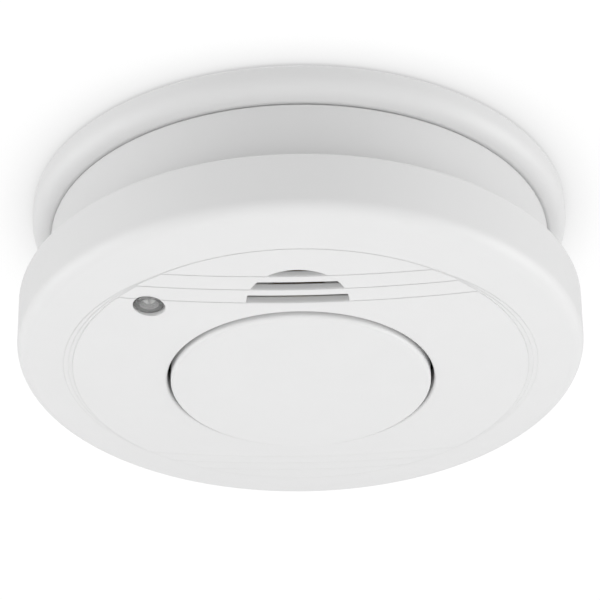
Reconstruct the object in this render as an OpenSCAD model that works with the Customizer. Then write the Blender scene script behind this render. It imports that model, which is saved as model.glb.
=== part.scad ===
// Battery smoke alarm for a ceiling: mounting plate, alarm housing and everything inside it.
// The alarm hangs below its ceiling, so z = 0 is the ceiling and every part has a negative z.
// The sounder slots and the indicator face -Y, the battery lies on the +Y side.

/* [Mounting plate] */
// Outside diameter of the plate
plate_d = 101.2; // [100:0.2:102]
// Depth of the plate below the ceiling
plate_depth = 5.9; // [5.6:0.1:6.1]
// Thickness of the plate's flat web
plate_web = 1.8; // [1.4:0.1:2.2]
// Distance between the two fixing slots
slot_spacing = 68; // [66:1:70]
// End-to-end length of a fixing slot
slot_length = 9; // [7:0.5:10]
// Width of a fixing slot, for a 4 mm screw
slot_width = 4.4; // [4:0.1:5]

/* [Bayonet] */
// Number of bayonet lugs
lug_count = 3; // [2:1:4]
// Angle that a lug covers
lug_angle = 12; // [10:1:13]
// Angle that the alarm turns from locked to free
twist_angle = 14; // [12:1:16]

/* [Front cover] */
// Outside diameter of the cover, the widest part of the alarm
cover_d = 105; // [104:0.5:106]
// Thickness of the cover's wall and face
cover_wall = 2; // [1.8:0.1:2.2]
// Depth of the cover's upper lip below the ceiling
lip_depth = 20.1; // [19.5:0.1:20.5]
// Depth below the ceiling at which the rim meets the face
rim_depth = 31.95; // [31.8:0.05:32.1]
// Radius of the rounded lower rim
rim_r = 2.8; // [2.4:0.1:3]
// Radius of curvature of the domed face
face_curve_r = 298; // [280:1:320]
// Height of each of the four shallow steps on the face
step_h = 0.1; // [0.08:0.01:0.12]
// Radius of the stepped area on the face
step_r = 42.2; // [41.5:0.1:43]

/* [Sounder slots] */
// Radius of the half-round group of slots
grille_r = 9.15; // [8:0.05:9.3]
// Distance from the alarm's centre to the group's straight edge
grille_y = 27.6; // [27.4:0.1:28]
// Width of each slot
grille_slot = 2; // [1.6:0.1:2.2]
// Distance from one slot to the next
grille_pitch = 3.65; // [3.5:0.05:3.8]
// Thickness of the face around the slots
grille_wall = 1.35; // [1:0.05:1.4]

/* [Test button] */
// Diameter of the test button
button_d = 48.1; // [47.6:0.1:48.3]
// Diameter of the hole in the face that the button sits in
button_hole_d = 49.4; // [49:0.1:49.4]
// Distance that the button stands proud of the hole's edge
button_proud = 0.75; // [0.6:0.05:0.9]
// Travel of the test button
button_travel = 1; // [0.8:0.1:1]

/* [Indicator] */
// Diameter of the indicator's hole
indicator_d = 5.8; // [5.4:0.1:6]
// Position of the indicator, left of the centre
indicator_x = 26.6; // [26:0.1:27]
// Position of the indicator, towards the slots
indicator_y = 25.5; // [25:0.1:26]

/* [Neck] */
// Diameter of the neck between the plate and the cover
neck_d = 94; // [93.6:0.1:94.4]
// Number of smoke inlet windows in the neck, hidden inside the cover's lip
window_count = 24; // [16:1:28]

/* [Battery] */
// Length of the 9 V battery's case
battery_l = 46.4; // [46:0.1:46.6]
// Width of the battery
battery_w = 26; // [25.5:0.1:26.2]
// Thickness of the battery
battery_h = 17; // [16.5:0.1:17.2]

/* [Hidden] */

$fn = 96;
small_fn = 32;
eps = 0.02;
clear = 0.3;
wide_clear = 0.5;
below_all = -40;

// Mounting plate
plate_r = plate_d / 2;
plate_round = 3.75;
plate_top_round = 0.7;
plate_skirt = 2;
plate_edge_z = -2.2;
skirt_in_r = plate_r - plate_round - 1.45;
relief_depth = 0.7;
relief_in_r = 12;
relief_out_r = 43;
relief_web = 3;
relief_webs = 6;
pad_r = 8.5;

// Neck and spigot
neck_r = neck_d / 2;
neck_wall = 2;
neck_top = -plate_depth - clear;
flange_h = 1.5;
spigot_r = 42.5;
spigot_wall = 1.5;
spigot_top = -2.8;
back_top = -5.2;
back_h = 1.6;
lug_top = -3;
lug_h = 1.2;
lug_r = skirt_in_r - 0.8;
ledge_top = lug_top - lug_h - 0.4;
ledge_h = 1;
ledge_in_r = spigot_r + wide_clear;
stop_angle = 3;
stop_play = 1.2;

// Face
lip_z = -lip_depth;
cover_r = cover_d / 2;
cover_in_r = cover_r - cover_wall;
steps = 4;
lip_round = 0.6;
hole_r = button_hole_d / 2;
face_apex = -rim_depth - face_sag(cover_r - rim_r / 2);
rim_tangent = asin((cover_r - rim_r) / face_curve_r);
rim_centre_r = cover_r - rim_r;
rim_centre_z = face_z(rim_centre_r + rim_r * sin(rim_tangent), 0) + rim_r * cos(rim_tangent);
rim_inner_r = 1;
face_segments = 12;
round_segments = 16;
lip_segments = 6;
chord_gap = 0.1;
far_chord = 30;
far_pitch = 3.6;
side_bulges = [1.7, 0.8];
side_bulge_gap = 1.5;
hole_round = 0.45;
grille_centre_y = grille_y - 0.2;

// Inside of the cover
board_top = -24.6;
board_h = 1.6;
board_bottom = board_top - board_h;
board_r = 43.5;
joint_z = -23.9;
window_w = 7.2;
window_low = joint_z + 0.7;
window_high = lip_z - 0.2;
wall_low = -31.6;
collar_r = hole_r + 1.5;
collar_low = -34.2;
collar_top = -31.5;
post_low = -33;
channel_ribs = 12;
channel_rib_w = 1.2;
channel_rib_z = [-30.5, -24];

// Fasteners
housing_screw_at = [[-35, -12], [35, -12], [0, 37]];
board_screw_at = [[-36, 10], [36, 10]];
post_r = 3.2;
screw_r = 1.35;
screw_low = -31;
pilot_r = 1.4;
head_r = 2.7;
head_h = 2;
head_seat = -21.8;
tube_in_r = 3;
tube_r = 4.2;
recess_l = 3;
recess_w = 0.8;
recess_depth = 0.9;
board_post_r = 3;
board_screw_head_r = 2.4;
board_screw_head_h = 1.6;
board_screw_l = 9;

// Battery bay
bay_wall = 1.4;
bay_x = [-26.8, 23.5];
bay_y = [4.6, 31.2];
bay_top = -3;
bay_floor = -21.6;
bay_floor_h = 1.4;
bay_reach = spigot_r - 0.2;
battery_x = bay_x[0] + 0.4;
battery_y = (bay_y[0] + bay_y[1]) / 2;
battery_z = bay_floor + 0.4;
terminal_pitch = 12.7;
terminal_h = 2.1;
terminal_floor = 0.5;
plus_r = 2.9;
minus_r = 4;
terminal_z = battery_z + battery_h / 2;
contact_x = battery_x + battery_l + terminal_h + 0.2;
contact_t = 0.4;
contact_w = 8;
contact_h = 9;
tail_w = 2;
tail_end = board_bottom - 1;
flap_l = 28;
flap_w = 6;
flap_t = 1.2;
flap_x = -20;
flap_pin_r = 0.6;
flap_pin_l = 9;

// Test button, switch and spring
button_r = button_d / 2;
button_edge_z = face_z(hole_r, steps) - button_proud;
button_apex = button_edge_z - 0.6;
button_round = 0.7;
button_wall = 1.4;
button_plate = 1.8;
button_skirt_top = -33.4;
button_stem_r = 2.2;
button_root_z = button_apex + 1;
hook_w = 6;
hook_top = collar_top + clear + 1;
hook_catch = 1.9;
switch_w = 6;
switch_h = 3.4;
plunger_r = 1.7;
plunger_share = 0.25;
plunger_end = board_bottom - 4.5;
plunger_hole_h = 1.2;
plunger_l = 1.8;
stem_gap = button_travel * (1 - plunger_share) + 0.1;
spring_r = 6;
spring_wire = 0.3;
spring_turns = 6;
spring_steps = 16;
spring_sides = 6;
spring_seat_wall = 1;
spring_seat_r = spring_r + spring_wire + clear;
spring_seat_h = 1.2;
spring_top = board_bottom - 0.05;
spring_low = button_apex + button_plate + 0.15;

// Indicator
indicator_at = [-indicator_x, -indicator_y];
lens_gap = 0.3;
lens_flange_r = 3.9;
lens_flange_h = 0.8;
lens_seat = -31.2;
lens_tip = face_z(norm(indicator_at), steps) + 0.05;
lens_wall = 0.8;
lens_boss = 1.3;
led_r = 1.5;
led_flange = 0.3;
led_flange_h = 1.2;
led_bore_r = 1.75;
led_bore_end = lens_tip + lens_wall;
led_tip = led_bore_end + clear;

// Rating label
label_l = 34;
label_w = 20;
label_y = 24;
label_t = 0.15;

// Smoke chamber
chamber_at = [0, -19.5];
chamber_r = 20;
chamber_base_h = 1.7;
chamber_base_z = board_top + 0.1;
chamber_top = -7.6;
chamber_cap_h = 1.4;
vane_count = 18;
vane_r = 17.5;
vane_l = 5;
vane_t = 0.9;
vane_tilt = 50;
vane_low = chamber_base_z + chamber_base_h + 0.2;
screen_r = 20.9;
screen_t = 0.4;
screen_bars = 30;
screen_rings = 5;
screen_low = vane_low;
screen_top = chamber_top - chamber_cap_h - 0.2;
optic_reach = 9;
optic_angle = 25;
optic_block = [5, 6, 5.2];
optic_foot = 2.9;
emitter_r = 1.5;
emitter_l = 5;
emitter_bore_l = 8;
optic_z = chamber_base_z + chamber_base_h + 2.8;
diode_size = [1.6, 3.2, 3.2];
diode_pocket = 4.4;
diode_pocket_l = 5;
shield_t = 0.3;
shield_l = 2.6;

// Horn
horn_at = [0, -27];
horn_r = 14.5;
horn_wall = 1.2;
horn_low = -30.6;
horn_top = board_bottom - 0.15;
horn_front = 1;
horn_mouth_r = 5;
horn_ledge = 1.3;
disc_z = horn_low + horn_front + 0.95;
disc_r = horn_r - horn_wall - 0.1;
disc_t = 0.3;
ceramic_r = 10;
ceramic_t = 0.25;
contact_pin_r = 0.6;
ceramic_pins = [-6, 0];
disc_pin = disc_r - 1.5;

// Components on the circuit board
chip_size = [10.3, 7.5, 2.2];
chip_at = [-15, 9];
lead_count = 8;
lead_pitch = 1.27;
lead_w = 0.4;
lead_l = 1.2;
lead_z = 1.4;
lead_t = 0.8;
capacitor_at = [[-21, 32], [-13, 35], [21, 32]];
capacitor_r = 3.1;
capacitor_h = 4.6;
resistor_rows = [4, 8, 12, 16];
resistor_x = 11;
resistor_r = 1.1;
resistor_l = 6.2;

// Drop of the domed face at a radius, and its depth there with some of its steps in place
function face_sag(r) = face_curve_r - sqrt(face_curve_r * face_curve_r - r * r);
function face_z(r, level) = face_apex + face_sag(r) - level * step_h;

// Distance of a near chord line of the face from the centre, counted from the button outwards
function near_chord(inner) = grille_y + inner * grille_pitch - chord_gap;

// The two ends of a length that is centred on a value
function span(middle, length) = [middle - length / 2, middle + length / 2];

// Points of an arc in a profile
function arc(centre, r, from, to, n) =
    [for (i = [0:n]) centre + r * [cos(from + (to - from) * i / n), sin(from + (to - from) * i / n)]];

// Points along the face from one radius to another, shifted up by lift
function face_points(r0, r1, lift, n) =
    [for (i = [0:n]) let (r = r0 + (r1 - r0) * i / n) [r, face_z(r, 0) + lift]];

module disc(r, low, high) {
    translate([0, 0, low]) cylinder(r = r, h = high - low);
}

module tube(r_out, r_in, low, high) {
    difference() {
        disc(r_out, low, high);
        disc(r_in, low - eps, high + eps);
    }
}

module block(x, y, z) {
    translate([x[0], y[0], z[0]]) cube([x[1] - x[0], y[1] - y[0], z[1] - z[0]]);
}

module at(points) {
    for (p = points) translate([p[0], p[1], 0]) children();
}

module around(count, first = 0) {
    for (i = [0:count - 1]) rotate(first + i * 360 / count) children();
}

// A wedge that covers an angle, for cutting lugs and ledges out of rings
module wedge(angle, reach, low, high) {
    translate([0, 0, low]) linear_extrude(high - low)
        polygon([[0, 0], reach * [cos(-angle / 2), sin(-angle / 2)], [reach * 1.1, 0],
                 reach * [cos(angle / 2), sin(angle / 2)]]);
}

module ring_piece(r_out, r_in, low, high, angle) {
    intersection() {
        tube(r_out, r_in, low, high);
        wedge(angle, r_out * 1.2, low - eps, high + eps);
    }
}

// A slot with round ends along X
module stadium(length, width, low, high) {
    run = length - width;
    block([-run / 2, run / 2], [-width / 2, width / 2], [low, high]);
    for (side = [-1, 1]) translate([side * run / 2, 0, 0]) disc(width / 2, low, high);
}

module mounting_plate() {
    color("white") {
        difference() {
            rotate_extrude() polygon(concat(
                [[0, 0]],
                arc([plate_r - plate_top_round, -plate_top_round], plate_top_round, 90, 0, lip_segments),
                arc([plate_r - plate_round, plate_edge_z], plate_round, 0,
                    -asin((plate_depth + plate_edge_z) / plate_round), round_segments),
                [[skirt_in_r, -plate_depth], [skirt_in_r, -plate_web], [0, -plate_web]]
            ));
            plate_relief();
            for (side = [-1, 1]) translate([side * slot_spacing / 2, 0, 0])
                stadium(slot_length, slot_width, -plate_web - 1, 1);
        }
        around(lug_count) {
            ring_piece(skirt_in_r + wide_clear, ledge_in_r, ledge_top - ledge_h, ledge_top, lug_angle);
            rotate(lug_angle / 2 + stop_angle / 2 + stop_play)
                ring_piece(skirt_in_r + wide_clear, ledge_in_r + clear, ledge_top - ledge_h,
                           -plate_web + eps, stop_angle);
        }
    }
}

// Shallow moulded pockets on the ceiling side, with webs and screw pads left standing
module plate_relief() {
    difference() {
        tube(relief_out_r, relief_in_r, -relief_depth, 1);
        around(relief_webs, 30)
            block([0, relief_out_r + 1], [-relief_web / 2, relief_web / 2], [-plate_web, 2]);
        for (side = [-1, 1]) translate([side * slot_spacing / 2, 0, 0]) disc(pad_r, -plate_web, 2);
    }
}

module rear_housing() {
    color("white") difference() {
        union() {
            disc(spigot_r, back_top - back_h, back_top);
            tube(spigot_r, spigot_r - spigot_wall, back_top - back_h, spigot_top);
            around(lug_count)
                ring_piece(lug_r, spigot_r - 1, lug_top - lug_h, lug_top, lug_angle);
            tube(neck_r, spigot_r - 1, neck_top - flange_h, neck_top);
            tube(neck_r, neck_r - neck_wall, joint_z, neck_top);
            battery_bay();
            at(housing_screw_at) disc(tube_r, joint_z, back_top - eps);
            at(board_screw_at) disc(board_post_r, board_top, back_top - eps);
        }
        block(bay_x, bay_y, [bay_floor, 0]);
        at(housing_screw_at) {
            disc(tube_in_r, head_seat, 0);
            disc(screw_r + clear, joint_z - 1, 0);
        }
        at(board_screw_at) disc(pilot_r, board_top - 1, board_top + board_screw_l);
        around(window_count) inlet_window();
        block([flap_x - 1, flap_x + flap_l + 1], span(battery_y, flap_w + 2 * clear),
              [below_all, bay_floor + 1]);
        flap_pin(flap_pin_l + 0.6, flap_pin_r + 0.1);
        contact_slots(bay_floor - bay_floor_h - 1, bay_floor + 1, 0.3);
    }
}

// The battery's box, with the corner that would stand out of the spigot cut back
module battery_bay() {
    intersection() {
        block([bay_x[0] - bay_wall, bay_x[1] + bay_wall], [bay_y[0] - bay_wall, bay_y[1] + bay_wall],
              [bay_floor - bay_floor_h, bay_top]);
        disc(bay_reach, below_all, 0);
    }
}

module inlet_window() {
    block([neck_r - neck_wall - 1, neck_r + 1], span(0, window_w), [window_low, window_high]);
}

// Profile of the cover's shell from the button hole to the lip and back
function cover_profile() = concat(
    face_points(hole_r, rim_centre_r + rim_r * sin(rim_tangent), 0, face_segments),
    arc([rim_centre_r, rim_centre_z], rim_r, -90 + rim_tangent + 5, 0, round_segments),
    arc([cover_r - lip_round, lip_z - lip_round], lip_round, 0, 90, lip_segments),
    arc([cover_in_r + lip_round, lip_z - lip_round], lip_round, 90, 180, lip_segments),
    arc([cover_in_r - rim_inner_r, rim_centre_z + 0.6], rim_inner_r, 0, -90 + rim_tangent, lip_segments),
    face_points(neck_r, hole_r, cover_wall, face_segments)
);

module front_cover() {
    color("white") difference() {
        union() {
            rotate_extrude() polygon(cover_profile());
            for (level = [1:steps]) face_step(level);
            tube(neck_r, neck_r - neck_wall, wall_low, joint_z - 0.1);
            tube(collar_r, hole_r, collar_low, collar_top);
            at(housing_screw_at) disc(post_r, post_low, joint_z - 0.1);
            translate(indicator_at) disc(indicator_d / 2 + lens_boss, post_low, lens_seat - 0.1);
            around(channel_ribs, 15)
                block([neck_r - 0.5, cover_in_r + 0.5], span(0, channel_rib_w), channel_rib_z);
        }
        at(housing_screw_at) disc(pilot_r, wall_low, 0);
        translate(indicator_at) disc(indicator_d / 2, below_all, 0);
        button_hole();
        sounder_slots();
        grille_pocket();
    }
}

// The button's hole, with its outer edge rounded over
module button_hole() {
    edge_z = face_z(hole_r, steps);
    rotate_extrude() polygon(concat(
        [[0, below_all], [hole_r + hole_round, below_all]],
        arc([hole_r + hole_round, edge_z + hole_round], hole_round, -90, -180, lip_segments),
        [[hole_r, joint_z], [0, joint_z]]
    ));
}

// Pocket behind the sounder slots, which leaves the face thinner there
module grille_pocket() {
    reach = grille_centre_y + grille_r + 1;
    intersection() {
        translate([0, -grille_centre_y, 0]) disc(grille_r + clear, below_all, horn_low);
        rotate_extrude() polygon(concat(
            face_points(collar_r, reach, grille_wall - steps * step_h, face_segments),
            [[reach, horn_low - 0.1], [collar_r, horn_low - 0.1]]
        ));
    }
}

// One shallow step of the face, which lies lower than the one before
module face_step(level) {
    reach = step_r + side_bulges[0] + 1;
    inner = steps - level;
    intersection() {
        rotate_extrude() polygon(concat(
            face_points(hole_r - 0.5, reach, -level * step_h, face_segments),
            face_points(reach, hole_r - 0.5, 0.5, face_segments)
        ));
        translate([0, 0, below_all]) linear_extrude(-below_all) {
            step_outline(inner);
            if (level <= len(side_bulges))
                side_bulge(side_bulges[level - 1], near_chord(min(inner, steps - 2)) - side_bulge_gap);
        }
    }
}

// Outline of a step: the whole circle for the outermost one, and a circle cut by two chords inside it
module step_outline(inner) {
    if (inner == steps - 1) {
        circle(r = step_r);
    } else {
        far = far_chord + inner * far_pitch;
        intersection() {
            circle(r = step_r);
            translate([-cover_r, -near_chord(inner)]) square([cover_d, near_chord(inner) + far]);
        }
    }
}

// Crescents at the left and right of the circle, which swell to a width and taper into it
module side_bulge(width, meet_y) {
    reach = step_r + width;
    meet_x = sqrt(step_r * step_r - meet_y * meet_y);
    shift = (reach * reach - step_r * step_r) / (2 * (reach - meet_x));
    for (side = [-1, 1]) intersection() {
        translate([side * shift, 0]) circle(r = reach - shift);
        square([2 * cover_d, 2 * meet_y + side_bulge_gap], center = true);
    }
}

module sounder_slots() {
    intersection() {
        translate([0, -grille_centre_y, 0]) disc(grille_r, below_all, horn_low);
        for (i = [0:2])
            block([-grille_r, grille_r],
                  span(-grille_y - i * grille_pitch - grille_slot / 2, grille_slot),
                  [below_all + 1, horn_low - 1]);
    }
}

module test_button() {
    color("white") {
        rotate_extrude() polygon(concat(
            [[button_r, button_skirt_top]],
            arc([button_r - button_round, button_edge_z + button_round], button_round, 0, -90, lip_segments),
            [for (i = [1:face_segments]) let (r = (button_r - button_round) * (1 - i / face_segments))
                [r, button_apex + (button_edge_z - button_apex) * pow(r / button_r, 2)]],
            [[0, button_apex + button_plate], [button_r - button_wall, button_edge_z + button_plate],
             [button_r - button_wall, button_skirt_top]]
        ));
        disc(button_stem_r, button_root_z, plunger_end - stem_gap);
        tube(spring_seat_r + spring_seat_wall, spring_seat_r, button_root_z,
             button_apex + button_plate + spring_seat_h);
        around(3, 90) {
            block([button_r - button_wall, button_r - 0.1], [-hook_w / 2, hook_w / 2],
                  [button_skirt_top - 1, hook_top]);
            block([button_r - button_wall, button_r + hook_catch], [-hook_w / 2, hook_w / 2],
                  [collar_top + clear, hook_top]);
        }
    }
}

// Points of one cross-section of the spring's wire
function spring_ring(i) = let (
    turn = 360 * i / spring_steps,
    z = spring_low + spring_wire
        + (spring_top - spring_low - 2 * spring_wire) * i / (spring_turns * spring_steps)
) [for (k = [0:spring_sides - 1]) let (a = 360 * k / spring_sides, r = spring_r + spring_wire * cos(a))
    [r * cos(turn), r * sin(turn), z + spring_wire * sin(a)]];

module button_spring() {
    rings = spring_turns * spring_steps;
    points = [for (i = [0:rings]) each spring_ring(i)];
    side_faces = [for (i = [0:rings - 1]) for (k = [0:spring_sides - 1])
        let (a = i * spring_sides + k, b = i * spring_sides + (k + 1) % spring_sides)
        [a, a + spring_sides, b + spring_sides, b]];
    ends = [[for (k = [0:spring_sides - 1]) k],
            [for (k = [spring_sides - 1:-1:0]) rings * spring_sides + k]];
    color("silver") polyhedron(points, concat(side_faces, ends), convexity = 10);
}

module indicator_lens() {
    color("lightgrey") translate(indicator_at) difference() {
        union() {
            disc(lens_flange_r, lens_seat, lens_seat + lens_flange_h);
            disc(indicator_d / 2 - lens_gap, lens_tip, lens_seat + eps);
        }
        disc(led_bore_r, led_bore_end, 0);
    }
}

module indicator_led() {
    color("whitesmoke") translate(indicator_at) {
        disc(led_r + led_flange, board_bottom - led_flange_h, board_bottom - 0.05);
        disc(led_r, led_tip + led_r, board_bottom - 0.05);
        translate([0, 0, led_tip + led_r]) sphere(r = led_r, $fn = small_fn);
    }
}

module battery() {
    color("dimgray") block([battery_x, battery_x + battery_l], span(battery_y, battery_w),
                           [battery_z, battery_z + battery_h]);
}

module battery_terminals() {
    color("silver") translate([battery_x + battery_l, battery_y, terminal_z]) rotate([0, 90, 0]) {
        translate([0, -terminal_pitch / 2, 0]) cylinder(r = plus_r, h = terminal_h, $fn = small_fn);
        translate([0, terminal_pitch / 2, 0]) difference() {
            cylinder(r = minus_r, h = terminal_h, $fn = small_fn);
            translate([0, 0, terminal_floor]) cylinder(r = plus_r, h = terminal_h, $fn = small_fn);
        }
    }
}

module battery_contacts() {
    color("silver") {
        for (side = [-1, 1])
            block([contact_x, contact_x + contact_t],
                  span(battery_y + side * terminal_pitch / 2, contact_w), span(terminal_z, contact_h));
        contact_slots(tail_end, terminal_z, 0);
    }
}

// The tails of the battery contacts, or with some room added, the slots that they pass through
module contact_slots(low, high, room) {
    for (side = [-1, 1])
        block([contact_x - room, contact_x + contact_t + room],
              span(battery_y + side * terminal_pitch / 2, tail_w + 2 * room), [low, high]);
}

module flap_pin(length, r) {
    translate([flap_x + 1.5, battery_y + length / 2, bay_floor - bay_floor_h / 2]) rotate([90, 0, 0])
        cylinder(r = r, h = length, $fn = small_fn);
}

module battery_lockout_flap() {
    color("red") {
        block([flap_x, flap_x + flap_l], span(battery_y, flap_w),
              [bay_floor - 0.1 - flap_t, bay_floor - 0.1]);
        flap_pin(flap_pin_l, flap_pin_r);
    }
}

module circuit_board() {
    color("green") difference() {
        disc(board_r, board_bottom, board_top);
        at(housing_screw_at) disc(post_r + 0.8, below_all, 0);
        at(board_screw_at) disc(pilot_r + 0.3, below_all, 0);
        contact_slots(below_all, 0, 0.2);
    }
}

module detector_chip() {
    color("black") translate([chip_at[0], chip_at[1], board_bottom - 0.1 - chip_size[2]]) {
        translate([-chip_size[0] / 2, -chip_size[1] / 2, 0]) cube(chip_size);
        for (i = [0:lead_count - 1])
            translate([(i - (lead_count - 1) / 2) * lead_pitch - lead_w / 2,
                       -chip_size[1] / 2 - lead_l, lead_z])
                cube([lead_w, chip_size[1] + 2 * lead_l, lead_t]);
    }
}

module capacitors() {
    color("navy") at(capacitor_at)
        disc(capacitor_r, board_bottom - 0.1 - capacitor_h, board_bottom - 0.1);
}

module resistors() {
    color("tan") for (y = resistor_rows)
        translate([resistor_x, y, board_bottom - 0.1 - resistor_r]) rotate([0, 90, 0])
            cylinder(r = resistor_r, h = resistor_l, $fn = small_fn);
}

module test_switch_body() {
    color("black") difference() {
        block(span(0, switch_w), span(0, switch_w),
              [board_bottom - 0.05 - switch_h, board_bottom - 0.05]);
        disc(plunger_r + 0.2, below_all, board_bottom - switch_h + plunger_hole_h);
    }
}

module test_switch_plunger() {
    color("ivory") disc(plunger_r, plunger_end, plunger_end + plunger_l);
}

// Something at an angle to the chamber's centre line, facing the centre of the chamber
module optic_place(side) {
    translate(chamber_at) rotate(90 + side * (90 - optic_angle)) translate([optic_reach, 0, optic_z])
        children();
}

module chamber_base() {
    color("black") difference() {
        union() {
            translate(chamber_at) disc(chamber_r, chamber_base_z, chamber_base_z + chamber_base_h);
            for (side = [-1, 1]) optic_place(side)
                translate([-1, -optic_block[1] / 2, -optic_foot]) cube(optic_block);
        }
        optic_place(1) translate([-2, 0, 0]) rotate([0, 90, 0])
            cylinder(r = emitter_r + 0.1, h = emitter_bore_l, $fn = small_fn);
        optic_place(-1) translate([-2, -diode_pocket / 2, -diode_pocket / 2])
            cube([diode_pocket_l, diode_pocket, diode_pocket]);
    }
}

module infrared_emitter() {
    color("lightblue") optic_place(1) rotate([0, 90, 0]) {
        cylinder(r = emitter_r, h = emitter_l - 1, $fn = small_fn);
        sphere(r = emitter_r, $fn = small_fn);
    }
}

module photodiode() {
    color("black") optic_place(-1) translate([0, -diode_size[1] / 2, -diode_size[2] / 2])
        cube(diode_size);
}

module photodiode_shield() {
    reach = diode_size[1] / 2 + 0.1 + shield_t;
    color("silver") optic_place(-1) difference() {
        translate([0, -reach, -reach]) cube([shield_l, 2 * reach, 2 * reach]);
        translate([-1, -reach + shield_t, -reach + shield_t])
            cube([1 + diode_size[0] + 0.5, 2 * (reach - shield_t), 2 * (reach - shield_t)]);
    }
}

module chamber_labyrinth() {
    color("black") translate(chamber_at) {
        disc(chamber_r, chamber_top - chamber_cap_h, chamber_top);
        around(vane_count) translate([vane_r, 0, 0]) rotate(vane_tilt)
            block([-vane_l / 2, vane_l / 2], [-vane_t / 2, vane_t / 2],
                  [vane_low, chamber_top - chamber_cap_h + eps]);
    }
}

module insect_screen() {
    height = screen_top - screen_low;
    color("gray") translate(chamber_at) {
        for (i = [0:screen_rings - 1]) let (z = screen_low + (height - screen_t) * i / (screen_rings - 1))
            tube(screen_r, screen_r - screen_t, z, z + screen_t);
        around(screen_bars) block([screen_r - screen_t + 0.05, screen_r - 0.05],
                                  [-0.15, 0.15], [screen_low + 0.05, screen_top - 0.05]);
    }
}

module horn_housing() {
    color("white") translate(horn_at) {
        tube(horn_r, horn_r - horn_wall, horn_low, horn_top);
        tube(horn_r - eps, horn_mouth_r, horn_low, horn_low + horn_front);
        tube(horn_r - horn_wall + eps, horn_r - horn_wall - horn_ledge, horn_low + eps, disc_z - 0.05);
    }
}

module piezo_disc() {
    color("goldenrod") translate(horn_at) disc(disc_r, disc_z, disc_z + disc_t);
}

module piezo_ceramic() {
    color("ivory") translate(horn_at) disc(ceramic_r, disc_z + disc_t, disc_z + disc_t + ceramic_t);
}

module horn_contacts() {
    low = disc_z + disc_t + ceramic_t + 0.05;
    color("goldenrod") translate(horn_at) {
        for (x = ceramic_pins) translate([x, 0, 0]) disc(contact_pin_r, low, board_bottom - 0.05);
        translate([disc_pin, 0, 0]) disc(contact_pin_r, disc_z + disc_t + 0.05, board_bottom - 0.05);
    }
}

module housing_screws() {
    color("silver") at(housing_screw_at) {
        difference() {
            disc(head_r, head_seat + 0.05, head_seat + head_h);
            cross_recess(head_seat + head_h);
        }
        disc(screw_r, screw_low, head_seat + 0.1);
    }
}

module board_screws() {
    color("silver") at(board_screw_at) {
        difference() {
            disc(board_screw_head_r, board_bottom - 0.05 - board_screw_head_h, board_bottom - 0.05);
            cross_recess(board_bottom - board_screw_head_h);
        }
        disc(screw_r, board_bottom - 0.1, board_top + board_screw_l - 1);
    }
}

module cross_recess(z) {
    for (turn = [0, 90]) rotate(turn)
        block(span(0, recess_l), span(0, recess_w), span(z, 2 * recess_depth));
}

module rating_label() {
    color("silver") block(span(0, label_l), span(-label_y, label_w), [back_top + 0.03, back_top + label_t]);
}

mounting_plate();
rear_housing();
front_cover();
test_button();
button_spring();
indicator_lens();
indicator_led();
battery();
battery_terminals();
battery_contacts();
battery_lockout_flap();
circuit_board();
detector_chip();
capacitors();
resistors();
test_switch_body();
test_switch_plunger();
chamber_base();
chamber_labyrinth();
insect_screen();
infrared_emitter();
photodiode();
photodiode_shield();
horn_housing();
piezo_disc();
piezo_ceramic();
horn_contacts();
housing_screws();
board_screws();
rating_label();
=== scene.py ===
"""White ceiling smoke alarm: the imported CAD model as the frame, with its looks built round it.

Lengths are in metres. Z is up, the ceiling is at z = 0 and the alarm hangs below it. The near
side, with the sound slots and the indicator, is towards -Y.
"""

import math

import bpy
from mathutils import Matrix, Vector


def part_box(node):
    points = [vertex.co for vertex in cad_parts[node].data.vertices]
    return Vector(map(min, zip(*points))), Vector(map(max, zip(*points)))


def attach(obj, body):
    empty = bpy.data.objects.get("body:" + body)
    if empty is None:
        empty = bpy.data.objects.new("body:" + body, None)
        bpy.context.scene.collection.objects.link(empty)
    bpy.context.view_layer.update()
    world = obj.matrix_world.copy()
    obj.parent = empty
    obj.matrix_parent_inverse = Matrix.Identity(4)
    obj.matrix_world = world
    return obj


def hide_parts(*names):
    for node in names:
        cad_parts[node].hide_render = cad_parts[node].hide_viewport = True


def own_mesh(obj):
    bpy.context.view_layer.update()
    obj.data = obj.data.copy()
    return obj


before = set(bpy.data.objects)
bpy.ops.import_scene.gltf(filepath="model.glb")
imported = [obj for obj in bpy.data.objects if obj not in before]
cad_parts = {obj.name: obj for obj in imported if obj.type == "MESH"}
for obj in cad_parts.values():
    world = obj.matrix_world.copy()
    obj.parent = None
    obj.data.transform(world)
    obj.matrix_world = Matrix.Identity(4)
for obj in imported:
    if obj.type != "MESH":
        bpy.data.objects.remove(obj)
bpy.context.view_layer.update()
MM = 0.001

# The camera looks up at the alarm from below, at a point just above the centre of the lip
LIP_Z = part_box("front_cover")[1].z
VIEW_ELEVATION = math.radians(-31.09)
VIEW_AZIMUTH = math.radians(0.78)
VIEW_ROLL = 0.0105
VIEW_DISTANCE = 600 * MM
VIEW_LIFT = 1.9 * MM
LENS = 192.1
CLIP_NEAR, CLIP_FAR = 0.01, 20

# How bright the studio is as a light, and as it is seen
WORLD_FILL = 0.69
WORLD_SEEN = 1.0

# Each softbox's name, place, width and power in watts; all of them face one point in the alarm
SOFTBOXES = (
    ("below", (0, -0.1, -1.1), 1.0, 2.1),
    ("left", (-0.95, -0.1, -0.3), 0.7, 3.4),
    ("right", (0.95, -0.1, -0.3), 0.7, 4.0),
    ("near_low", (0, -0.85, -0.8), 0.8, 1.5),
    ("far_low", (0, 0.85, -0.8), 0.8, 0.9),
    ("above", (0, 0, 1.1), 1.0, 3.9),
)
LIGHT_TARGET = Vector((0, 0, -20 * MM))

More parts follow.
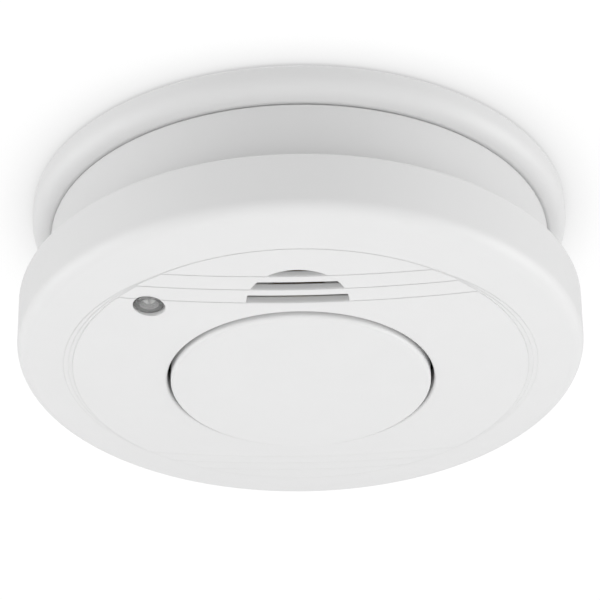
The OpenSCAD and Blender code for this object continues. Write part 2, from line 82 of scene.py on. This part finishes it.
# The ceiling lies a hair above the plate, and the floor is far below
CEILING_Z, CEILING_REACH = 0.4 * MM, 3.0
FLOOR_Z, FLOOR_REACH = -1.6, 14.0

# The stage's paint, and its painted glow: a painted contact shadow where something is close by, and
# full glow where nothing is
STAGE_PAINT = 0.15
PAINTED_SHADOW_REACH = 13 * MM
GLOW_IN_PAINTED_SHADOW, GLOW_OUT_OF_PAINTED_SHADOW = 0.45, 0.87

# The part of a noise's range that the finishes use
NOISE_LOW, NOISE_HIGH = 0.3, 0.7

# The depth of a plastic's grain, and the size of the marks on a metal
GRAIN_DEPTH = 0.01 * MM
METAL_MARKS = 0.12 * MM

WHITE = (0.72, 0.72, 0.72)

# Sides of a turned piece
SIDES = 72


def new_object(name, data):
    """A new object in the scene, at the origin."""
    obj = bpy.data.objects.new(name, data)
    bpy.context.scene.collection.objects.link(obj)
    return obj


def make_camera():
    """The camera at the photograph's angle, rolled by a fraction of a degree."""
    cam = new_object("camera", bpy.data.cameras.new("camera"))
    cam.data.lens = LENS
    cam.data.clip_start = CLIP_NEAR
    cam.data.clip_end = CLIP_FAR
    flat = VIEW_DISTANCE * math.cos(VIEW_ELEVATION)
    place = Vector((
        flat * math.sin(VIEW_AZIMUTH),
        -flat * math.cos(VIEW_AZIMUTH),
        LIP_Z + VIEW_DISTANCE * math.sin(VIEW_ELEVATION),
    ))
    forward = (Vector((0, 0, LIP_Z + VIEW_LIFT)) - place).normalized()
    right = forward.cross(Vector((0, 0, 1))).normalized()
    up = right.cross(forward)
    c, s = math.cos(VIEW_ROLL), math.sin(VIEW_ROLL)
    columns = (c * right - s * up, s * right + c * up, -forward)
    cam.matrix_world = Matrix.Translation(place) @ Matrix(columns).transposed().to_4x4()
    bpy.context.scene.camera = cam


def make_world():
    """A white studio: seen as white, but dimmer as a light, so that the softboxes shape it."""
    world = bpy.data.worlds.new("studio")
    bpy.context.scene.world = world
    world.use_nodes = True
    tree = world.node_tree
    tree.nodes.clear()
    out = tree.nodes.new("ShaderNodeOutputWorld")
    mix = tree.nodes.new("ShaderNodeMixShader")
    path = tree.nodes.new("ShaderNodeLightPath")
    fill = tree.nodes.new("ShaderNodeBackground")
    seen = tree.nodes.new("ShaderNodeBackground")
    fill.inputs["Color"].default_value = (1, 1, 1, 1)
    seen.inputs["Color"].default_value = (1, 1, 1, 1)
    fill.inputs["Strength"].default_value = WORLD_FILL
    seen.inputs["Strength"].default_value = WORLD_SEEN
    tree.links.new(path.outputs["Is Camera Ray"], mix.inputs[0])
    tree.links.new(fill.outputs[0], mix.inputs[1])
    tree.links.new(seen.outputs[0], mix.inputs[2])
    tree.links.new(mix.outputs[0], out.inputs["Surface"])


def make_lights():
    """Large softboxes on every side, the weakest of them on the near side and the far side."""
    for name, place, width, power in SOFTBOXES:
        light = bpy.data.lights.new(name, "AREA")
        light.size = width
        light.energy = power
        softbox = new_object(name, light)
        softbox.location = place
        facing = LIGHT_TARGET - Vector(place)
        softbox.rotation_euler = facing.to_track_quat("-Z", "Y").to_euler()


def stage_material(name):
    """White paint with a painted glow, dimmed to a painted contact shadow close to what touches it,
    and clear from behind.
    """
    mat = bpy.data.materials.new(name)
    mat.use_nodes = True
    tree = mat.node_tree
    tree.nodes.clear()
    out = tree.nodes.new("ShaderNodeOutputMaterial")
    paint = tree.nodes.new("ShaderNodeBsdfPrincipled")
    unseen = tree.nodes.new("ShaderNodeBsdfTransparent")
    mix = tree.nodes.new("ShaderNodeMixShader")
    side = tree.nodes.new("ShaderNodeNewGeometry")
    paint.inputs["Base Color"].default_value = (STAGE_PAINT, STAGE_PAINT, STAGE_PAINT, 1)
    paint.inputs["Roughness"].default_value = 1
    paint.inputs["Specular IOR Level"].default_value = 0
    paint.inputs["Emission Color"].default_value = (1, 1, 1, 1)
    # A painted contact shadow: ambient occlusion dims the painted glow where something is close by
    painted_shadow = tree.nodes.new("ShaderNodeAmbientOcclusion")
    painted_shadow.samples = 16
    painted_shadow.inputs["Distance"].default_value = PAINTED_SHADOW_REACH
    painted_glow = tree.nodes.new("ShaderNodeMapRange")
    painted_glow.inputs["To Min"].default_value = GLOW_IN_PAINTED_SHADOW
    painted_glow.inputs["To Max"].default_value = GLOW_OUT_OF_PAINTED_SHADOW
    tree.links.new(painted_shadow.outputs["AO"], painted_glow.inputs["Value"])
    tree.links.new(painted_glow.outputs["Result"], paint.inputs["Emission Strength"])
    tree.links.new(side.outputs["Backfacing"], mix.inputs[0])
    tree.links.new(paint.outputs[0], mix.inputs[1])
    tree.links.new(unseen.outputs[0], mix.inputs[2])
    tree.links.new(mix.outputs[0], out.inputs["Surface"])
    return mat


def stage_plane(name, z, reach, up):
    """A square sheet that is seen only from the side it faces, up or down."""
    corners = [(-reach, -reach, z), (-reach, reach, z), (reach, reach, z), (reach, -reach, z)]
    mesh = bpy.data.meshes.new(name)
    mesh.from_pydata(corners[::-1] if up else corners, [], [(0, 1, 2, 3)])
    plane = new_object(name, mesh)
    plane.data.materials.append(stage_material(name))
    plane.visible_shadow = False
    plane.visible_diffuse = False
    plane.visible_glossy = False
    plane.visible_transmission = False


def make_stage():
    """The ceiling that the alarm hangs from, seen from below, and a floor, seen from above."""
    stage_plane("ceiling", CEILING_Z, CEILING_REACH, up=False)
    stage_plane("floor", FLOOR_Z, FLOOR_REACH, up=True)


class Shader:
    """A short way to write a principled material's nodes."""

    def __init__(self, name):
        self.material = bpy.data.materials.new(name)
        self.material.use_nodes = True
        self.tree = self.material.node_tree
        self.bsdf = self.tree.nodes["Principled BSDF"]
        self.place = self.tree.nodes.new("ShaderNodeTexCoord").outputs["Object"]

    def set(self, **values):
        """Sets the principled shader's inputs, with _ for each space in a name."""
        for key, value in values.items():
            self.bsdf.inputs[key.replace("_", " ")].default_value = value

    def link(self, output, name):
        """Links an output to one of the principled shader's inputs."""
        self.tree.links.new(output, self.bsdf.inputs[name])

    def noise(self, size, detail, squeeze=None):
        """Noise whose features are about size metres across, squeezed by a factor on each axis."""
        place = self.place
        if squeeze:
            mapping = self.tree.nodes.new("ShaderNodeMapping")
            mapping.inputs["Scale"].default_value = squeeze
            self.tree.links.new(place, mapping.inputs["Vector"])
            place = mapping.outputs["Vector"]
        node = self.tree.nodes.new("ShaderNodeTexNoise")
        node.inputs["Scale"].default_value = 1 / size
        node.inputs["Detail"].default_value = detail
        self.tree.links.new(place, node.inputs["Vector"])
        return node.outputs["Fac"]

    def ramp(self, fac, *stops):
        """A colour ramp between two stops, each of them (position, colour)."""
        node = self.tree.nodes.new("ShaderNodeValToRGB")
        for element, (position, colour) in zip(node.color_ramp.elements, stops):
            element.position = position
            element.color = (*colour, 1)
        self.tree.links.new(fac, node.inputs["Fac"])
        return node.outputs["Color"]

    def levels(self, fac, low, high):
        """Maps the used part of a noise's range to low to high."""
        node = self.tree.nodes.new("ShaderNodeMapRange")
        node.inputs["From Min"].default_value = NOISE_LOW
        node.inputs["From Max"].default_value = NOISE_HIGH
        node.inputs["To Min"].default_value = low
        node.inputs["To Max"].default_value = high
        self.tree.links.new(fac, node.inputs["Value"])
        return node.outputs["Result"]

    def mottle(self, colour, vary, fac, low=NOISE_LOW, high=NOISE_HIGH):
        """Colours the surface in soft patches, a little darker and a little lighter."""
        dark, light = (tuple(min(1, c * (1 + k)) for c in colour) for k in (-vary, vary))
        self.link(self.ramp(fac, (low, dark), (high, light)), "Base Color")

    def gloss(self, low, high, fac):
        """Lets the roughness wander between two values."""
        self.link(self.levels(fac, low, high), "Roughness")

    def soften(self, radius):
        """Rounds the shading of every edge over a radius, as a mould's worn edges do."""
        node = self.tree.nodes.new("ShaderNodeBevel")
        node.samples = 6
        node.inputs["Radius"].default_value = radius
        self.link(node.outputs["Normal"], "Normal")

    def bump(self, height, depth, strength):
        """Bump in metres; several calls stack."""
        node = self.tree.nodes.new("ShaderNodeBump")
        node.inputs["Distance"].default_value = depth
        node.inputs["Strength"].default_value = strength
        before = self.bsdf.inputs["Normal"].links
        if before:
            self.tree.links.new(before[0].from_socket, node.inputs["Normal"])
        self.tree.links.new(height, node.inputs["Height"])
        self.link(node.outputs["Normal"], "Normal")


def plastic(name, colour, rough=0.42, grain=0.25 * MM, vary=0.015, coat=0.0, edge=0.0):
    """Moulded plastic: fine spark-eroded grain, slow flow marks and slightly uneven gloss."""
    s = Shader(name)
    if edge:
        s.soften(edge)
    s.mottle(colour, vary, s.noise(size=9 * MM, detail=3))
    s.gloss(rough - 0.04, rough + 0.04, s.noise(size=2.5 * MM, detail=4))
    s.bump(s.noise(size=grain, detail=2), depth=GRAIN_DEPTH, strength=0.5)
    s.bump(s.noise(size=6 * MM, detail=1), depth=2 * GRAIN_DEPTH, strength=0.3)
    s.set(Specular_IOR_Level=0.4, Coat_Weight=coat)
    return s.material


def metal(name, colour, rough, squeeze=None):
    """Drawn, rolled or plated metal with fine marks and a little tarnish."""
    s = Shader(name)
    tarnish = s.noise(size=1.5 * MM, detail=4)
    s.mottle(colour, vary=0.06, fac=tarnish, low=0.35, high=0.65)
    s.gloss(rough - 0.08, rough + 0.1, s.noise(METAL_MARKS, detail=3, squeeze=squeeze))
    s.bump(s.noise(METAL_MARKS, detail=2, squeeze=squeeze), depth=0.004 * MM, strength=0.5)
    s.set(Metallic=1.0)
    return s.material


def clear(name, colour, rough, ior=1.49, through=1.0):
    """Clear, tinted or slightly milky resin, where through is the share of light let in."""
    s = Shader(name)
    s.set(Base_Color=(*colour, 1), Transmission_Weight=through, IOR=ior)
    s.gloss(rough - 0.03, rough + 0.03, s.noise(size=1 * MM, detail=3))
    s.bump(s.noise(size=0.6 * MM, detail=2), depth=0.01 * MM, strength=0.3)
    return s.material


def board_material():
    """Green solder mask over tracks, with a faint weave of the glass cloth."""
    track_pitch = 3.2 * MM
    s = Shader("circuit_board")
    cells = s.tree.nodes.new("ShaderNodeTexVoronoi")
    cells.distance = "MANHATTAN"
    cells.inputs["Scale"].default_value = 1 / track_pitch
    s.tree.links.new(s.place, cells.inputs["Vector"])
    bare = (0.30, (0.020, 0.13, 0.045))
    track = (0.34, (0.035, 0.21, 0.075))
    s.link(s.ramp(cells.outputs["Distance"], bare, track), "Base Color")
    s.gloss(0.25, 0.35, s.noise(size=0.8 * MM, detail=3))
    s.bump(cells.outputs["Distance"], depth=0.02 * MM, strength=0.4)
    s.bump(s.noise(size=0.4 * MM, detail=1), depth=0.006 * MM, strength=0.4)
    return s.material


def node_materials():
    """The finish of each CAD node."""
    white = plastic("white_abs", WHITE, vary=0.006, edge=0.28 * MM)
    black = plastic("black_abs", (0.022, 0.022, 0.024), rough=0.5)
    grey = plastic("grey_abs", (0.33, 0.34, 0.35), rough=0.45)
    red = plastic("red_acetal", (0.55, 0.02, 0.012), rough=0.32)
    steel = metal("plated_steel", (0.62, 0.62, 0.63), rough=0.28)
    nickel = metal("nickel_plate", (0.70, 0.68, 0.64), rough=0.2)
    brass = metal("piezo_brass", (0.80, 0.58, 0.26), rough=0.25)
    return {
        "mounting_plate": white,
        "rear_housing": white,
        "front_cover": white,
        "test_button": white,
        "button_spring": steel,
        "indicator_lens": clear("clear_acrylic", (0.97, 0.97, 0.97), rough=0.08, through=0.92),
        "indicator_led": clear(
            "clear_epoxy", (0.95, 0.95, 0.95), rough=0.08, ior=1.5, through=0.85
        ),
        "battery": plastic("battery_wrap", (0.03, 0.03, 0.035), rough=0.25, coat=0.4),
        "battery_terminals": nickel,
        "battery_contacts": nickel,
        "battery_lockout_flap": red,
        "circuit_board": board_material(),
        "detector_chip": plastic(
            "chip_epoxy", (0.012, 0.012, 0.013), rough=0.55, grain=0.15 * MM
        ),
        "capacitors": plastic("capacitor_sleeve", (0.012, 0.02, 0.09), rough=0.22, coat=0.3),
        "resistors": plastic("resistor_lacquer", (0.48, 0.33, 0.17), rough=0.35, vary=0.06),
        "test_switch_body": black,
        "test_switch_plunger": grey,
        "chamber_base": black,
        "chamber_labyrinth": black,
        "insect_screen": metal("screen_wire", (0.32, 0.32, 0.33), rough=0.35),
        "infrared_emitter": clear("tinted_epoxy", (0.25, 0.30, 0.55), rough=0.1, ior=1.5),
        "photodiode": plastic("diode_epoxy", (0.02, 0.012, 0.02), rough=0.15),
        "photodiode_shield": metal(
            "tinned_sheet", (0.66, 0.66, 0.66), rough=0.32, squeeze=(1, 1, 8)
        ),
        "horn_housing": plastic("light_grey_abs", (0.55, 0.56, 0.56), rough=0.45),
        "piezo_disc": brass,
        "piezo_ceramic": plastic(
            "silvered_ceramic", (0.60, 0.57, 0.48), rough=0.4, vary=0.05
        ),
        "horn_contacts": brass,
        "housing_screws": steel,
        "board_screws": steel,
        "rating_label": plastic(
            "blank_label", (0.62, 0.62, 0.63), rough=0.3, grain=0.1 * MM
        ),
    }


def finish_nodes(materials):
    """Gives each CAD node its finish."""
    for name, material in materials.items():
        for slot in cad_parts[name].material_slots:
            slot.material = material


def mesh_piece(name, points, faces, material, body, slot, *nodes):
    """A smooth-shaded piece of its own on a body, standing for the CAD nodes that it replaces."""
    mesh = bpy.data.meshes.new(name)
    mesh.from_pydata(points, [], faces)
    mesh.shade_smooth()
    mesh.materials.append(material)
    piece = new_object(name, mesh)
    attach(piece, body)
    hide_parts(*nodes)
    return piece


def revolve(profile, centre):
    """Points and faces of a closed profile of (radius, z), turned about an upright line.

    A point of the profile whose radius is 0 is a pole.
    """
    points, rings, faces = [], [], []
    for r, z in profile:
        count = 1 if r == 0 else SIDES
        rings.append(range(len(points), len(points) + count))
        for i in range(count):
            a = math.tau * i / SIDES
            points.append((centre[0] + r * math.cos(a), centre[1] + r * math.sin(a), z))
    for low, high in zip(rings, rings[1:] + rings[:1]):
        for i in range(SIDES):
            j = (i + 1) % SIDES
            corners = (low[i % len(low)], low[j % len(low)],
                       high[j % len(high)], high[i % len(high)])
            # At a pole two corners are the same point, and between two poles there is no face
            face = list(dict.fromkeys(corners))
            if len(face) > 2:
                faces.append(face)
    return points, faces


def profile_arc(centre, radius, start, end, count):
    """Points of an arc in a profile, from one angle to another in degrees."""
    angles = [math.radians(start + (end - start) * i / count) for i in range(count + 1)]
    return [(centre[0] + radius * math.cos(a), centre[1] + radius * math.sin(a)) for a in angles]


def lens_piece(material):
    """The light pipe: a slightly domed tip in the cover's hole, a flange and a bore for the LED."""
    low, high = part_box("indicator_lens")
    flange_r = (high.x - low.x) / 2
    flange_h = 0.8 * MM
    barrel_r = 2.6 * MM
    bore_r = 1.75 * MM
    tip_wall = 0.8 * MM
    dome_h = 0.14 * MM
    edge = 0.12 * MM
    flange_z = high.z - flange_h
    bore_end = low.z + tip_wall
    dome_r = (barrel_r**2 + dome_h**2) / (2 * dome_h)
    spread = math.degrees(math.asin((barrel_r - edge) / dome_r))
    dome = profile_arc((0, low.z + dome_r), dome_r, -90, -90 + spread, 8)
    shoulder = profile_arc((barrel_r - edge, dome[-1][1] + edge), edge, -80, 0, 4)
    bore = profile_arc((bore_r - edge, bore_end + edge), edge, 0, -90, 4)
    profile = (
        [(0, low.z)] + dome[1:] + shoulder
        + [(barrel_r, flange_z), (flange_r - edge, flange_z), (flange_r, flange_z + edge)]
        + [(flange_r, high.z - edge), (flange_r - edge, high.z), (bore_r + edge, high.z)]
        + [(bore_r, high.z - edge)] + bore + [(0, bore_end)]
    )
    points, faces = revolve(profile, (low + high) / 2)
    mesh_piece("lens_light_pipe", points, faces, material, "alarm", "clear_lens", "indicator_lens")


def led_pieces(epoxy, plating):
    """The LED: a domed epoxy body, with the two heads of its lead frame in it."""
    low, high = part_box("indicator_led")
    centre = (low + high) / 2
    flange_r = (high.x - low.x) / 2
    flange_w = 0.3 * MM
    flange_h = 1.15 * MM
    head_depth = 0.75 * MM
    edge = 0.1 * MM
    body_r = flange_r - flange_w
    flange_z = high.z - flange_h
    dome = profile_arc((0, low.z + body_r), body_r, -90, 0, 12)
    profile = (
        [(0, low.z)] + dome[1:]
        + [(body_r, flange_z), (flange_r - edge, flange_z), (flange_r, flange_z + edge)]
        + [(flange_r, high.z - edge), (flange_r - edge, high.z), (0, high.z)]
    )
    points, faces = revolve(profile, centre)
    mesh_piece("led_body", points, faces, epoxy, "alarm", "led_epoxy", "indicator_led")
    # One head's outline in millimetres: the gap to the other one opens towards the near side
    lobe = [(0.2, 0.1), (0.6, -0.75), (0.95, -0.9), (1.2, -0.5),
            (1.3, 0.2), (1.05, 0.8), (0.6, 1.15), (0.06, 0.9)]
    for name, side in (("led_anvil", -1), ("led_post", 1)):
        outline = [(centre.x + side * x * MM, centre.y + y * MM) for x, y in lobe]
        # A mirrored outline runs the other way round, so it is taken backwards
        lead_head(name, outline[::side], low.z + head_depth, high.z - edge, plating)


def lead_head(name, outline, low, high, material):
    """Half of the LED's lead frame: a head with an outline in X and Y, and a leg above it."""
    n = len(outline)
    middle = Vector((sum(x for x, y in outline) / n, sum(y for x, y in outline) / n))
    # The outline's scale at each level, from the head's underside up to the end of the leg
    levels = (
        (0.82, low),
        (1.0, low + 0.15 * MM),
        (0.95, low + 0.9 * MM),
        (0.3, low + 1.6 * MM),
        (0.3, high),
    )
    points = []
    for scale, z in levels:
        points += [(*(middle + (Vector(p) - middle) * scale), z) for p in outline]
    top = (len(levels) - 1) * n
    faces = [tuple(range(n))[::-1], tuple(range(top, top + n))]
    for ring in range(0, top, n):
        for i in range(n):
            j = (i + 1) % n
            faces.append((ring + i, ring + j, ring + n + j, ring + n + i))
    piece = mesh_piece(name, points, faces, material, "alarm", "plated_contact", "indicator_led")
    bevel = piece.modifiers.new("edges", "BEVEL")
    bevel.width = 0.06 * MM
    bevel.segments = 2


def spring_piece(material):
    """The button's return spring: round wire."""
    low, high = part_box("button_spring")
    wire_r = 0.3 * MM
    coil_r = (high.x - low.x) / 2 - wire_r
    turns, steps, sides = 6, 40, 14
    # How much of the rise moves to the middle turns, so that the end turns lie nearly flat
    closing = 0.11
    bottom, top = low.z + wire_r, high.z - wire_r
    count = turns * steps
    points, faces = [], []
    for i in range(count + 1):
        share = i / count
        rise = share - closing * math.sin(math.tau * share)
        a = math.tau * turns * share
        z = bottom + (top - bottom) * rise
        for k in range(sides):
            b = math.tau * k / sides
            r = coil_r + wire_r * math.cos(b)
            points.append((r * math.cos(a), r * math.sin(a), z + wire_r * math.sin(b)))
    for i in range(count):
        for k in range(sides):
            j = (k + 1) % sides
            faces.append((i * sides + k, (i + 1) * sides + k, (i + 1) * sides + j, i * sides + j))
    faces.append(tuple(range(sides)))
    faces.append(tuple(count * sides + k for k in reversed(range(sides))))
    piece = mesh_piece(
        "coil_spring", points, faces, material, "alarm", "spring_steel", "button_spring"
    )
    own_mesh(piece)


bpy.context.scene.view_settings.view_transform = "Standard"
make_camera()
make_world()
make_lights()
make_stage()
materials = node_materials()
finish_nodes(materials)
lens_piece(materials["indicator_lens"])
led_pieces(materials["indicator_led"], metal("silver_plate", (0.95, 0.95, 0.94), rough=0.35))
spring_piece(materials["button_spring"])
